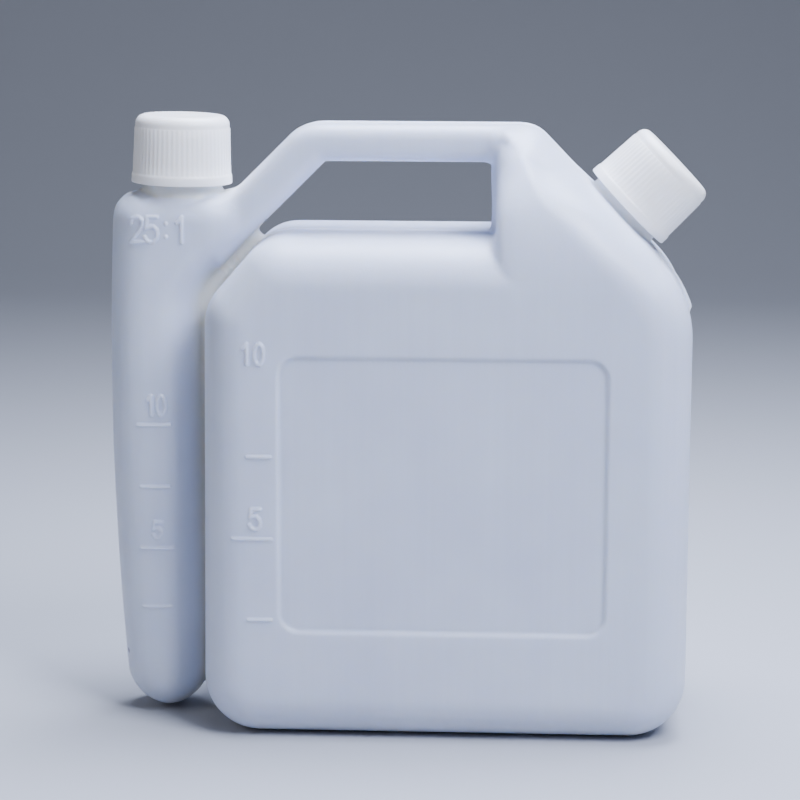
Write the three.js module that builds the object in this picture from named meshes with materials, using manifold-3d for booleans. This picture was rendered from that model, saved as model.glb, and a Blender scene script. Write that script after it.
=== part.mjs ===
import * as THREE from 'three';
import { mergeVertices } from 'three/addons/utils/BufferGeometryUtils.js';
import Module from 'manifold-3d';

const wasm = await Module();
wasm.setup();

// Fuel mixing bottle. Millimetres, +Z up, the marked face looks along -Y.

// Main tank
const WALL = 1.2; // blow moulded wall
const TANK_HALF_DEPTH = 37;
const TANK_LEFT_FOOT = -59.3;
const TANK_LEFT_TOP = -58.2;
const TANK_RIGHT = 86.1;
const TANK_TOP = 149.9;
const TANK_EDGE_RADIUS = 13.5; // rounding between the faces and the sides
const FOOT_RADIUS_LEFT = 17;
const FOOT_RADIUS_RIGHT = 17.5;
const TANK_DIAGONAL_FOOT = 130.2; // height where the left wall turns inward
const TANK_DIAGONAL_HEAD_X = -41.1; // where that slope would reach the tank top
const TANK_HEAD_RADIUS = 15; // at both ends of that slope
const HIP_RADIUS = 31; // right wall into the slanted face
const BASE_PUSH_UP = 1.2;
const BASE_PUSH_UP_INSET = 7; // from the edge of the flat base

// Slanted face that carries the filler neck
const SLANT_ANGLE = THREE.MathUtils.degToRad(46); // fall of the face, from level
const SLANT_RISE = Math.PI / 2 - SLANT_ANGLE; // lean of the face from upright
const FILLER_X = 65; // filler neck axis where it leaves the face
const FILLER_Z = 155.75;

// Column between the finger gap and the slanted face
const SKIN_LAP = 0.6; // the column stands this much proud of the tank at the slanted face
const COLUMN_LEFT = 26.4;
const COLUMN_CREST_HALF_DEPTH = 8;
const COLUMN_LEFT_RADIUS_X = 4.5;
const CREST_RADIUS = 10; // grip top into the slanted face

// Grip
const GRIP_TOP = 182.35;
const GRIP_THICKNESS = 10.95; // of the level bar, top to underside
const GRIP_UNDERSIDE = GRIP_TOP - GRIP_THICKNESS;
const GRIP_HALF_DEPTH = 11;
const GRIP_EDGE_RADIUS = 4.2;
const GRIP_RISE_OUTER = 213; // z minus x along the upper side of the rising part
const GRIP_RISE_INNER = 195.4; // z minus x along its lower side
const GRIP_START = 92; // x plus z of its square end, buried in the tube head
const GRIP_OUTER_BEND = 14;
const GRIP_INNER_BEND = 2;

// Measuring tube
const TUBE_FLOOR = 0.7; // lowest point above the ground
const TUBE_HALF_DEPTH = 14;
const TUBE_LEFT = -89.8; // at the widest height
const TUBE_WIDEST_Z = 103;
const TUBE_BOW = 4.65e-4; // parabola factor of the left side
const TUBE_RIGHT_FOOT = -61.4;
const TUBE_RIGHT_WAIST = -62.5;
const TUBE_WAIST_Z = 131.5; // where the right side starts to widen
const HEAD_RIGHT = -47.4;
const HEAD_RIGHT_Z = 149.5;
const TUBE_TOP = 161.3;
const TUBE_FOOT_RADIUS = 12.8;
const TUBE_TOP_RADIUS = 8;
const TUBE_CORNER_RADIUS = 12.6;

// Flat web pinched between tube and tank
const WEB_THICKNESS = 2.2;
const WEB_FOOT_Z = 8.5;
const WEB_HEAD_LEFT_X = -45.6; // upper end of the web, at the corner of the finger gap
const WEB_HEAD_LEFT_Z = 149.9;
const WEB_HEAD_RIGHT_X = -43.7;
const WEB_HEAD_RIGHT_Z = 147;

// Recessed panels, front and back
const PANEL_LEFT = -35.9;
const PANEL_RIGHT = 62.2;
const PANEL_FOOT = 33;
const PANEL_HEAD = 117.3;
const PANEL_CORNER = 4.5;
const PANEL_DEPTH = 1;
const PANEL_BORDER = 1.6; // width of the sloping edge

// Raised scale lines
const LINE_RISE = 0.4;
const LINE_WIDTH = 0.8;
const TANK_LINES = { right: -37.7, long: 11.5, short: 6.8, top: 111.6, step: 24.75 };
const TUBE_LINES = { middle: -75.3, long: 9.8, short: 8.7, top: 91.6, step: 18.9 };

// Necks and caps share one screw thread
const NECK_RADIUS = 12.2;
const NECK_WALL = 1.6;
const NECK_STAND_OFF = 2.75; // bare neck below the cap skirt
const NECK_STUB = 1.2; // foot of the neck that belongs to the body
const NECK_JOINT = 0.3; // between that foot and the threaded finish
const OIL_X = -67.9; // oil neck axis where it leaves the tube top
const OIL_LEAN = THREE.MathUtils.degToRad(1.3); // top of the neck leans toward +X
const LEAD = 4.2;
const THREAD_TURNS = 1.5;
const THREAD_HEIGHT = 0.85;
const THREAD_FOOT_WIDTH = 1.9;
const THREAD_CREST_WIDTH = 1;
const THREAD_FIT = 0.3; // radial clearance, crest to root
const THREAD_BELOW_RIM = 2.4; // top end of the ridge below the rim

const CAP_HEIGHT = 20.4;
const CAP_BORE_RADIUS = NECK_RADIUS + THREAD_HEIGHT + THREAD_FIT;
const CAP_WALL = 1.7; // at the skirt edge, without the flare
const CAP_FLARE = 0.2;
const CAP_SIDE_RADIUS = CAP_BORE_RADIUS + CAP_WALL; // gripping side, carried down to the skirt edge
const CAP_SKIRT_RADIUS = CAP_SIDE_RADIUS + CAP_FLARE;
const CAP_TAPER = 0.033;
const CAP_BAND_HEIGHT = 2.8;
const CAP_RIB_TOP = 16.5; // the gripping side ends here
const CAP_DRUM_WALL = 0.85; // thinnest, over the threaded bore
const CAP_DRUM_RADIUS = CAP_BORE_RADIUS + CAP_DRUM_WALL;
const CAP_TOP_RADIUS = 2.8;
const CAP_ROOF = 1.6;
const LINER_THICKNESS = 1;
const ROUND_SIDES = 28; // facets round a neck or a cap
const LINER_FIT = 0.3; // above and below the liner
const LINER_INSET = 0.75; // passes the threaded bore with this to spare
const LINER_RADIUS = CAP_BORE_RADIUS - LINER_INSET;
const CAP_SEAT_RADIUS = LINER_RADIUS + 0.4;
const CAP_SEAT_DEPTH = 3.6; // of the wider seat above the threaded bore
const CAP_SEAT_BEVEL = 0.6;
const CAP_SEAT_Z = CAP_HEIGHT - CAP_ROOF;
const RIM_IN_CAP = CAP_SEAT_Z - LINER_THICKNESS - 2 * LINER_FIT;
const NECK_HEIGHT = NECK_STAND_OFF + RIM_IN_CAP;

const FACET = 0.15; // largest gap between an arc and its chord

// Solids in and out of the boolean kernel
function solid(geometry, frame = new THREE.Matrix4()) {
  const g = geometry.clone().applyMatrix4(frame);
  g.deleteAttribute('normal');
  g.deleteAttribute('uv');
  const m = mergeVertices(g, 1e-5);
  return new wasm.Manifold(new wasm.Mesh({
    numProp: 3,
    vertProperties: new Float32Array(m.attributes.position.array),
    triVerts: new Uint32Array(m.index.array),
  }));
}

function geometryOf(manifold) {
  const mesh = manifold.getMesh();
  const g = new THREE.BufferGeometry();
  g.setAttribute('position', new THREE.BufferAttribute(new Float32Array(mesh.vertProperties), 3));
  g.setIndex(new THREE.BufferAttribute(new Uint32Array(mesh.triVerts), 1));
  g.computeVertexNormals();
  return g;
}

function mesh(name, manifold, colour, roughness) {
  const material = new THREE.MeshStandardMaterial({ color: colour, roughness, metalness: 0 });
  const m = new THREE.Mesh(geometryOf(manifold), material);
  m.name = name;
  return m;
}

// Outline of straight sides with a tangent arc at each corner [x, z, radius], all moved in by inset
function outline(corners, inset = 0) {
  const n = corners.length;
  const moved = corners.map((c, i) => {
    const a = corners[(i + n - 1) % n];
    const b = corners[(i + 1) % n];
    const u = new THREE.Vector2(c[0] - a[0], c[1] - a[1]).normalize();
    const v = new THREE.Vector2(b[0] - c[0], b[1] - c[1]).normalize();
    const turn = u.cross(v);
    const bisector = new THREE.Vector2(-u.y - v.y, u.x + v.x);
    bisector.multiplyScalar(2 / bisector.lengthSq());
    const radius = Math.max(0.05, c[2] - Math.sign(turn) * inset);
    return { x: c[0] + bisector.x * inset, y: c[1] + bisector.y * inset, radius };
  });
  const points = [];
  moved.forEach((c, i) => {
    const a = moved[(i + n - 1) % n];
    const b = moved[(i + 1) % n];
    const u = new THREE.Vector2(c.x - a.x, c.y - a.y).normalize();
    const v = new THREE.Vector2(b.x - c.x, b.y - c.y).normalize();
    const turn = Math.atan2(u.cross(v), u.dot(v));
    const tangent = c.radius * Math.tan(Math.abs(turn) / 2);
    const side = Math.sign(turn);
    const cx = c.x - u.x * tangent - u.y * side * c.radius;
    const cy = c.y - u.y * tangent + u.x * side * c.radius;
    const start = Math.atan2(c.y - u.y * tangent - cy, c.x - u.x * tangent - cx);
    const step = 2 * Math.acos(Math.max(0, 1 - FACET / Math.max(c.radius, 0.3)));
    const count = Math.max(1, Math.ceil(Math.abs(turn) / step));
    for (let k = 0; k <= count; k++) {
      const t = start + turn * k / count;
      points.push(new THREE.Vector2(cx + c.radius * Math.cos(t), cy + c.radius * Math.sin(t)));
    }
  });
  return points;
}

// Front view outline given depth along Y, its edges rounded
function slab(corners, halfDepth, edgeRadius, inset = 0) {
  const r = edgeRadius - inset;
  const half = halfDepth - inset;
  const g = new THREE.ExtrudeGeometry(new THREE.Shape(outline(corners, inset)), {
    depth: 2 * (half - r),
    bevelEnabled: r > 0,
    bevelThickness: r,
    bevelSize: r,
    bevelOffset: -r,
    bevelSegments: r > 8 ? 5 : 3,
  });
  g.translate(0, 0, -(half - r));
  g.rotateX(Math.PI / 2);
  return solid(g);
}

function box(x0, x1, y0, y1, z0, z1) {
  const g = new THREE.BoxGeometry(x1 - x0, y1 - y0, z1 - z0);
  g.translate((x0 + x1) / 2, (y0 + y1) / 2, (z0 + z1) / 2);
  return solid(g);
}

// Skin over a stack of rings with the same number of points, ends closed
function loft(rings, frame) {
  const n = rings[0].length;
  const positions = [];
  const index = [];
  rings.forEach((ring) => ring.forEach((p) => positions.push(p.x, p.y, p.z)));
  for (let k = 0; k + 1 < rings.length; k++) {
    for (let i = 0; i < n; i++) {
      const a = k * n + i;
      const b = k * n + (i + 1) % n;
      index.push(a, b, b + n, a, b + n, a + n);
    }
  }
  const last = (rings.length - 1) * n;
  for (let i = 1; i + 1 < n; i++) {
    index.push(0, i + 1, i);
    index.push(last, last + i, last + i + 1);
  }
  const g = new THREE.BufferGeometry();
  g.setAttribute('position', new THREE.Float32BufferAttribute(positions, 3));
  g.setIndex(index);
  return solid(g, frame);
}

// Level ring with elliptical corners; the left and right corners may differ in width
function ring(z, left, right, half, leftRadius, rightRadius, depthRadius, segments = 5) {
  const points = [];
  const corner = (cx, cy, rx, from) => {
    for (let k = 0; k <= segments; k++) {
      const t = from + (Math.PI / 2) * k / segments;
      points.push(new THREE.Vector3(cx + rx * Math.cos(t), cy + depthRadius * Math.sin(t), z));
    }
  };
  corner(right - rightRadius, half - depthRadius, rightRadius, 0);
  corner(left + leftRadius, half - depthRadius, leftRadius, Math.PI / 2);
  corner(left + leftRadius, -half + depthRadius, leftRadius, Math.PI);
  corner(right - rightRadius, -half + depthRadius, rightRadius, 1.5 * Math.PI);
  return points;
}

// x of the slanted face at a height
function slantX(z) {
  return FILLER_X - (z - FILLER_Z) / Math.tan(SLANT_ANGLE);
}

// Height where the right wall and the slanted face would meet
const HIP_Z = FILLER_Z - (TANK_RIGHT - FILLER_X) * Math.tan(SLANT_ANGLE);

// x of the right side at a height: hip arc below, slanted face above
function rightSide(z, inset) {
  const radius = HIP_RADIUS - inset;
  const centreZ = HIP_Z - HIP_RADIUS * Math.tan(SLANT_RISE / 2);
  const arcTop = centreZ + radius * Math.sin(SLANT_RISE);
  if (z > arcTop) {
    return slantX(z) - inset / Math.sin(SLANT_ANGLE);
  }
  return TANK_RIGHT - HIP_RADIUS + Math.sqrt(radius * radius - (z - centreZ) ** 2);
}

// Tank body; the column laps over its upper right corner
function tank(inset) {
  const corners = [
    [TANK_LEFT_FOOT, 0, FOOT_RADIUS_LEFT],
    [TANK_RIGHT, 0, FOOT_RADIUS_RIGHT],
    [TANK_RIGHT, HIP_Z - SKIN_LAP, HIP_RADIUS],
    [slantX(TANK_TOP + SKIN_LAP), TANK_TOP, TANK_EDGE_RADIUS + 0.5],
    [TANK_DIAGONAL_HEAD_X, TANK_TOP, TANK_HEAD_RADIUS],
    [TANK_LEFT_TOP, TANK_DIAGONAL_FOOT, TANK_HEAD_RADIUS],
  ];
  return slab(corners, TANK_HALF_DEPTH, TANK_EDGE_RADIUS, inset);
}

// Column: level sections, domed toward the grip, cut off by the slanted face on the right
function column(inset) {
  const foot = TANK_TOP - TANK_EDGE_RADIUS;
  const top = GRIP_TOP - inset;
  const hipFoot = HIP_Z - HIP_RADIUS * Math.tan(SLANT_RISE / 2);
  const zs = [0, 0.467, 0.867].map((share) => hipFoot + share * (foot - hipFoot));
  const levels = 12;
  for (let k = 0; k <= levels; k++) {
    zs.push(foot + (top - foot) * Math.sin((Math.PI / 2) * k / levels));
  }
  const slope = 1 / Math.sin(SLANT_ANGLE);
  const bend = CREST_RADIUS - inset;
  const tangent = bend * Math.tan(SLANT_ANGLE / 2);
  const crestX = slantX(top) - inset * slope;
  const rings = zs.map((z) => {
    const t = Math.max(0, (z - foot) / (top - foot));
    const crest = COLUMN_CREST_HALF_DEPTH - inset;
    const deep = TANK_HALF_DEPTH - inset - 0.05;
    const half = crest + (deep - crest) * Math.sqrt(Math.max(0, 1 - t * t));
    const left = COLUMN_LEFT + inset;
    const below = top - z;
    const arcDrop = bend * (1 - Math.cos(SLANT_ANGLE));
    const right = below < arcDrop
      ? crestX - tangent + Math.sqrt(Math.max(0, bend * bend - (bend - below) ** 2))
      : rightSide(z, inset) - 0.04;
    const width = right - left;
    const depthRadius = Math.min(TANK_EDGE_RADIUS - inset, 0.7 * half);
    const rightRadius = Math.min((TANK_EDGE_RADIUS - inset) * slope, 0.62 * width);
    const leftRadius = Math.min(COLUMN_LEFT_RADIUS_X, 0.3 * width);
    return ring(z, left, right, half, leftRadius, rightRadius, depthRadius);
  });
  return loft(rings);
}

// Grip: rises from the tube head, bends level and runs into the column
function grip(inset) {
  const endX = COLUMN_LEFT + 6;
  const end = GRIP_EDGE_RADIUS + 0.3;
  const corners = [
    [(GRIP_START - GRIP_RISE_INNER) / 2, (GRIP_START + GRIP_RISE_INNER) / 2, end],
    [GRIP_UNDERSIDE - GRIP_RISE_INNER, GRIP_UNDERSIDE, GRIP_INNER_BEND],
    [endX, GRIP_UNDERSIDE, end],
    [endX, GRIP_TOP, end],
    [GRIP_TOP - GRIP_RISE_OUTER, GRIP_TOP, GRIP_OUTER_BEND],
    [(GRIP_START - GRIP_RISE_OUTER) / 2, (GRIP_START + GRIP_RISE_OUTER) / 2, end],
  ];
  return slab(corners, GRIP_HALF_DEPTH, GRIP_EDGE_RADIUS, inset);
}

// Sides of the measuring tube at a height
function tubeLeft(z) {
  return TUBE_LEFT + TUBE_BOW * (z - TUBE_WIDEST_Z) ** 2;
}

function tubeRight(z) {
  if (z < TUBE_WAIST_Z) {
    const t = (z - TUBE_FLOOR) / (TUBE_WAIST_Z - TUBE_FLOOR);
    return TUBE_RIGHT_FOOT + (TUBE_RIGHT_WAIST - TUBE_RIGHT_FOOT) * t;
  }
  const t = Math.min(1, (z - TUBE_WAIST_Z) / (HEAD_RIGHT_Z - TUBE_WAIST_Z));
  return TUBE_RIGHT_WAIST + (HEAD_RIGHT - TUBE_RIGHT_WAIST) * t;
}

// Measuring tube: round foot, bowed left side, wider head under the oil neck
function tube(inset) {
  const floor = TUBE_FLOOR + inset;
  const top = TUBE_TOP - inset;
  const footR = TUBE_FOOT_RADIUS - inset;
  const topR = TUBE_TOP_RADIUS - inset;
  const zs = [];
  for (let k = 0; k <= 5; k++) {
    zs.push(floor + footR * (1 - Math.cos((Math.PI / 2) * k / 5)));
  }
  const footTop = TUBE_FLOOR + TUBE_FOOT_RADIUS;
  zs.push(...[0.35, 0.69, 1].map((share) => footTop + share * (TUBE_WIDEST_Z - footTop)));
  zs.push(TUBE_WAIST_Z - 2, TUBE_WAIST_Z + 2, HEAD_RIGHT_Z - 2);
  for (let k = 0; k <= 4; k++) {
    zs.push(top - topR * (1 - Math.sin((Math.PI / 2) * k / 4)));
  }
  const rings = zs.map((z) => {
    const low = Math.max(0, floor + footR - z);
    const high = Math.max(0, z - (top - topR));
    const lowPull = footR - Math.sqrt(Math.max(0, footR * footR - low * low));
    const highPull = topR - Math.sqrt(Math.max(0, topR * topR - high * high));
    const pull = Math.min(Math.max(lowPull, highPull), footR - 0.6);
    const left = tubeLeft(z) + inset + pull;
    const right = tubeRight(z) - inset - pull;
    const half = TUBE_HALF_DEPTH - inset - pull;
    const r = Math.max(0.5, Math.min(TUBE_CORNER_RADIUS - inset - pull, (right - left) / 2 - 0.05));
    const depthR = Math.max(0.5, Math.min(r, half - 0.05));
    return ring(z, left, right, half, r, r, depthR);
  });
  return loft(rings);
}

// Pinched web, flat in the parting plane; its long edges lie inside the tube and the tank
function web() {
  const lap = 3.2;
  const corners = [
    [TUBE_RIGHT_FOOT - lap, WEB_FOOT_Z + 2, 0.3],
    [(TUBE_RIGHT_FOOT + TANK_LEFT_FOOT) / 2 - 1, WEB_FOOT_Z, 0.3],
    [TANK_LEFT_FOOT + lap, WEB_FOOT_Z + 8, 0.3],
    [TANK_LEFT_TOP + lap, TANK_DIAGONAL_FOOT - 1, 8],
    [WEB_HEAD_RIGHT_X + 2.6, WEB_HEAD_RIGHT_Z - 3.9, 0.3],
    [WEB_HEAD_LEFT_X - 2.6, WEB_HEAD_LEFT_Z + 3.9, 0.3],
    [TUBE_RIGHT_WAIST - lap, TUBE_WAIST_Z + 2, 8],
  ];
  return slab(corners, WEB_THICKNESS / 2, 0);
}

// Sunk panel with sloping border, grown by a wall and sunk by the same wall for the inside
function panelPocket(side, wall) {
  const cornersAt = (grow) => [
    [PANEL_LEFT - grow, PANEL_FOOT - grow, PANEL_CORNER + grow],
    [PANEL_RIGHT + grow, PANEL_FOOT - grow, PANEL_CORNER + grow],
    [PANEL_RIGHT + grow, PANEL_HEAD + grow, PANEL_CORNER + grow],
    [PANEL_LEFT - grow, PANEL_HEAD + grow, PANEL_CORNER + grow],
  ];
  const over = 1; // stands proud of the face so the cut is clean
  const slope = PANEL_BORDER / PANEL_DEPTH;
  const levels = [[-over, over * slope + wall], [PANEL_DEPTH + wall, wall - PANEL_BORDER]];
  const face = TANK_HALF_DEPTH;
  const steps = 5;
  const ringAt = ([sunk, grow]) => {
    const points = [];
    cornersAt(grow).forEach(([x, z, r], i) => {
      const sx = i === 1 || i === 2 ? -1 : 1;
      const sz = i > 1 ? -1 : 1;
      const from = Math.PI + i * Math.PI / 2;
      for (let k = 0; k <= steps; k++) {
        const t = from + (Math.PI / 2) * k / steps;
        const px = x + sx * r + r * Math.cos(t);
        const pz = z + sz * r + r * Math.sin(t);
        points.push(new THREE.Vector3(px, side * (face - sunk), pz));
      }
    });
    return points;
  };
  const rings = levels.map(ringAt);
  return loft(side > 0 ? rings : rings.reverse());
}

// Shallow push up under the tank
function basePocket(wall) {
  const flatX0 = TANK_LEFT_FOOT + FOOT_RADIUS_LEFT + BASE_PUSH_UP_INSET;
  const flatX1 = TANK_RIGHT - FOOT_RADIUS_RIGHT - BASE_PUSH_UP_INSET;
  const half = TANK_HALF_DEPTH - TANK_EDGE_RADIUS - BASE_PUSH_UP_INSET + 2;
  const at = (z, grow) => ring(z, flatX0 - grow, flatX1 + grow, half + grow, 8, 8, 8, 4);
  return loft([at(-1, wall + 1), at(BASE_PUSH_UP + wall, wall - BASE_PUSH_UP)]);
}

// Ridge of trapezoid section wound round Z; sign +1 stands outward, -1 inward
function helix(rootRadius, sign, startZ, frame) {
  const perTurn = 16;
  const reach = sign < 0 ? 1 / Math.cos(Math.PI / perTurn) : 1; // an inner ridge keeps its bore clear
  const steps = Math.round(THREAD_TURNS * perTurn);
  const sink = 0.25; // foot buried in the wall
  const rings = [];
  for (let i = 0; i <= steps; i++) {
    const angle = 2 * Math.PI * i / perTurn;
    const fade = Math.min(1, Math.min(i, steps - i) / 3 + 0.15);
    const height = THREAD_HEIGHT * fade;
    const z = startZ + LEAD * i / perTurn;
    const foot = (rootRadius - sign * sink) * reach;
    const crest = (rootRadius + sign * height) * reach;
    const section = [
      [foot, z - THREAD_FOOT_WIDTH / 2],
      [crest, z - THREAD_CREST_WIDTH / 2],
      [crest, z + THREAD_CREST_WIDTH / 2],
      [foot, z + THREAD_FOOT_WIDTH / 2],
    ];
    if (sign < 0) {
      section.reverse();
    }
    rings.push(section.map(([r, h]) => (
      new THREE.Vector3(r * Math.cos(angle), r * Math.sin(angle), h)
    )));
  }
  return loft(rings, frame);
}

function lathe(profile, frame, reach = 1) {
  const turned = profile.map(([r, z]) => new THREE.Vector2(r * reach, z));
  const g = new THREE.LatheGeometry(turned, ROUND_SIDES);
  g.rotateX(Math.PI / 2);
  return solid(g, frame);
}

// Height of the neck ridge start above the face
const NECK_THREAD_START = NECK_HEIGHT - THREAD_BELOW_RIM - THREAD_TURNS * LEAD;

// Foot of a neck, solid down into the body until the bore is cut
function neckStub(frame) {
  return lathe([[0, -5], [NECK_RADIUS, -5], [NECK_RADIUS, NECK_STUB], [0, NECK_STUB]], frame);
}

function neckBore(frame) {
  const r = NECK_RADIUS - NECK_WALL;
  return lathe([[0, -9], [r, -9], [r, NECK_STUB + 1], [0, NECK_STUB + 1]], frame);
}

// Threaded finish in its own frame: a plain ring with one ridge, standing on the foot
function neckFinish() {
  const rim = 0.5;
  const foot = NECK_STUB + NECK_JOINT;
  const bore = NECK_RADIUS - NECK_WALL;
  const body = lathe([
    [bore, foot],
    [NECK_RADIUS, foot],
    [NECK_RADIUS, NECK_HEIGHT - rim],
    [NECK_RADIUS - rim, NECK_HEIGHT],
    [bore, NECK_HEIGHT],
    [bore, foot],
  ]);
  return body.add(helix(NECK_RADIUS, 1, NECK_THREAD_START));
}

// Frames of the two necks: origin where the axis leaves the body, Z along the axis
function fillerFrame() {
  const m = new THREE.Matrix4().makeRotationY(SLANT_ANGLE);
  return m.setPosition(FILLER_X, 0, FILLER_Z);
}

function oilFrame() {
  const m = new THREE.Matrix4().makeRotationY(OIL_LEAN);
  return m.setPosition(OIL_X, 0, TUBE_TOP);
}

// Raised lines of both scales, cut from a skin grown by the rise
function scaleLines() {
  const y0 = -TANK_HALF_DEPTH - 2;
  const parts = [];
  const skinTank = tank(-LINE_RISE);
  for (let k = 0; k < 4; k++) {
    const z = TANK_LINES.top - k * TANK_LINES.step;
    const length = k === 2 ? TANK_LINES.long : TANK_LINES.short;
    if (k === 0) {
      continue;
    }
    const x1 = TANK_LINES.right;
    parts.push(skinTank.intersect(
      box(x1 - length, x1, y0, -TANK_HALF_DEPTH + 3, z - LINE_WIDTH / 2, z + LINE_WIDTH / 2),
    ));
  }
  const skinTube = tube(-LINE_RISE);
  for (let k = 0; k < 4; k++) {
    const z = TUBE_LINES.top - k * TUBE_LINES.step;
    const half = (k % 2 === 0 ? TUBE_LINES.long : TUBE_LINES.short) / 2;
    parts.push(skinTube.intersect(box(
      TUBE_LINES.middle - half,
      TUBE_LINES.middle + half,
      -TUBE_HALF_DEPTH - 1,
      -TUBE_HALF_DEPTH + 2.2,
      z - LINE_WIDTH / 2,
      z + LINE_WIDTH / 2,
    )));
  }
  return parts;
}

// Bottle in one piece: tank, column, hollow grip, measuring tube, web and the foot of both necks
function bottle() {
  let outer = tank(0).add(column(0)).add(grip(0)).add(tube(0)).add(web());
  scaleLines().forEach((line) => {
    outer = outer.add(line);
  });
  outer = outer.add(neckStub(fillerFrame())).add(neckStub(oilFrame()));
  outer = outer.subtract(panelPocket(-1, 0)).subtract(panelPocket(1, 0)).subtract(basePocket(0));
  let inner = tank(WALL).add(column(WALL)).add(grip(WALL)).add(tube(WALL));
  inner = inner.subtract(panelPocket(-1, WALL)).subtract(panelPocket(1, WALL));
  inner = inner.subtract(basePocket(WALL));
  inner = inner.add(neckBore(fillerFrame())).add(neckBore(oilFrame()));
  return outer.subtract(inner);
}

// Screw cap in its own frame, skirt edge at z = 0
function cap() {
  const profile = [
    [0, 0],
    [CAP_SKIRT_RADIUS - 0.2, 0],
    [CAP_SKIRT_RADIUS, 0.2],
    [CAP_SKIRT_RADIUS - 0.12, CAP_BAND_HEIGHT - 0.4],
    [CAP_SIDE_RADIUS - CAP_TAPER * CAP_BAND_HEIGHT, CAP_BAND_HEIGHT],
    [CAP_SIDE_RADIUS - CAP_TAPER * CAP_RIB_TOP, CAP_RIB_TOP],
    [CAP_DRUM_RADIUS, CAP_HEIGHT - CAP_TOP_RADIUS],
  ];
  for (let k = 1; k <= 4; k++) {
    const t = (Math.PI / 2) * k / 4;
    profile.push([
      CAP_DRUM_RADIUS - CAP_TOP_RADIUS * (1 - Math.cos(t)),
      CAP_HEIGHT - CAP_TOP_RADIUS * (1 - Math.sin(t)),
    ]);
  }
  profile.push([0, CAP_HEIGHT]);
  const bore = lathe([
    [0, -1],
    [CAP_BORE_RADIUS + 0.6, -1],
    [CAP_BORE_RADIUS + 0.6, 0],
    [CAP_BORE_RADIUS, 0.7],
    [CAP_BORE_RADIUS, CAP_SEAT_Z - CAP_SEAT_DEPTH - CAP_SEAT_BEVEL],
    [CAP_SEAT_RADIUS, CAP_SEAT_Z - CAP_SEAT_DEPTH],
    [CAP_SEAT_RADIUS, CAP_SEAT_Z],
    [0, CAP_SEAT_Z],
  ], undefined, 1 / Math.cos(Math.PI / ROUND_SIDES));
  // the cap ridge lies half a lead below the neck ridge on the same helix
  const ridgeStart = NECK_THREAD_START - NECK_STAND_OFF - LEAD / 2;
  const shell = lathe(profile).subtract(bore);
  return shell.add(helix(CAP_BORE_RADIUS, -1, ridgeStart));
}

function liner() {
  const z0 = RIM_IN_CAP + LINER_FIT;
  const z1 = z0 + LINER_THICKNESS;
  return lathe([[0, z0], [LINER_RADIUS, z0], [LINER_RADIUS, z1], [0, z1]]);
}

// A threaded finish on its neck frame, with its cap and liner moved out by the stand off
function closure(prefix, neckFrame) {
  const group = new THREE.Group();
  group.applyMatrix4(neckFrame);
  group.add(mesh(`${prefix}_neck`, neckFinish(), 0xd3dbe6, 0.45));
  const lid = new THREE.Group();
  lid.translateZ(NECK_STAND_OFF);
  lid.add(mesh(`${prefix}_cap`, cap(), 0xf2f1ee, 0.5));
  lid.add(mesh(`${prefix}_cap_liner`, liner(), 0xf4f4f0, 0.8));
  group.add(lid);
  return group;
}

const part = new THREE.Group();
part.name = 'fuel_mixing_bottle';
part.add(mesh('bottle_body', bottle(), 0xd3dbe6, 0.45));
part.add(closure('filler', fillerFrame()));
part.add(closure('oil', oilFrame()));

export default part;
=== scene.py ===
from functools import reduce
import math

import bpy
import numpy as np
from mathutils import Matrix, Quaternion, Vector


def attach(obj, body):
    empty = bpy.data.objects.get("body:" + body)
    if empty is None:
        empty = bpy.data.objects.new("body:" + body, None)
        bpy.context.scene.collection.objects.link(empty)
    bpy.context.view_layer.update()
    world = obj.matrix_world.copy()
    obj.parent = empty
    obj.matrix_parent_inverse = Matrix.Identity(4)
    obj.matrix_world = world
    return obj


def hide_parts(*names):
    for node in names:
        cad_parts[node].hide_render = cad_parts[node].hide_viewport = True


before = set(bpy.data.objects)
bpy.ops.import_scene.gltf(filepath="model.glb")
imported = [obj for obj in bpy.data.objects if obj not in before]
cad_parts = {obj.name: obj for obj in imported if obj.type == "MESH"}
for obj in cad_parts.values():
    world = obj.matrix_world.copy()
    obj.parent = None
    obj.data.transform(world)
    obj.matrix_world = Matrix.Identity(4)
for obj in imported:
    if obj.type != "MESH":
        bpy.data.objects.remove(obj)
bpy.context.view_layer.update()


# Camera: the bottle is seen from a little above and a little to its right,
# with a long lens, so that its upright sides stay nearly parallel.

look_at = Vector((-0.00142, 0.0, 0.09759))
stand_at = Vector((0.04118, -0.81279, 0.24697))
lens = bpy.data.cameras.new("long_lens")
lens.lens = 121.5
lens.sensor_width = 36.0
lens.clip_end = 20.0
camera = bpy.data.objects.new("camera", lens)
camera.location = stand_at
camera.rotation_mode = "QUATERNION"
tilt = Quaternion((0, 0, 1), math.radians(0.15))
camera.rotation_quaternion = (look_at - stand_at).to_track_quat("-Z", "Y") @ tilt
bpy.context.scene.collection.objects.link(camera)
bpy.context.scene.camera = camera


# Floor and light: a sheet of pale matt card runs level under the bottle and curves up behind it.
# One soft box stands on each side in front, and a third hangs above.


def hex_colour(code):
    """Linear colour of an sRGB hex value."""
    parts = [int(code[k:k + 2], 16) / 255 for k in (1, 3, 5)]
    return [c / 12.92 if c <= 0.04045 else ((c + 0.055) / 1.055) ** 2.4 for c in parts] + [1.0]


def add_node(tree, kind, settings=(), inputs=(), links=()):
    """Adds a node with its settings, input values and links from other nodes' outputs."""
    made = tree.nodes.new(kind)
    for name, value in dict(settings).items():
        setattr(made, name, value)
    for name, value in dict(inputs).items():
        made.inputs[name].default_value = value
    for name, output in dict(links).items():
        tree.links.new(output, made.inputs[name])
    return made


def new_material(name):
    """Empty node material and its output node."""
    made = bpy.data.materials.new(name)
    made.use_nodes = True
    made.node_tree.nodes.clear()
    return made, made.node_tree, made.node_tree.nodes.new("ShaderNodeOutputMaterial")


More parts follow.
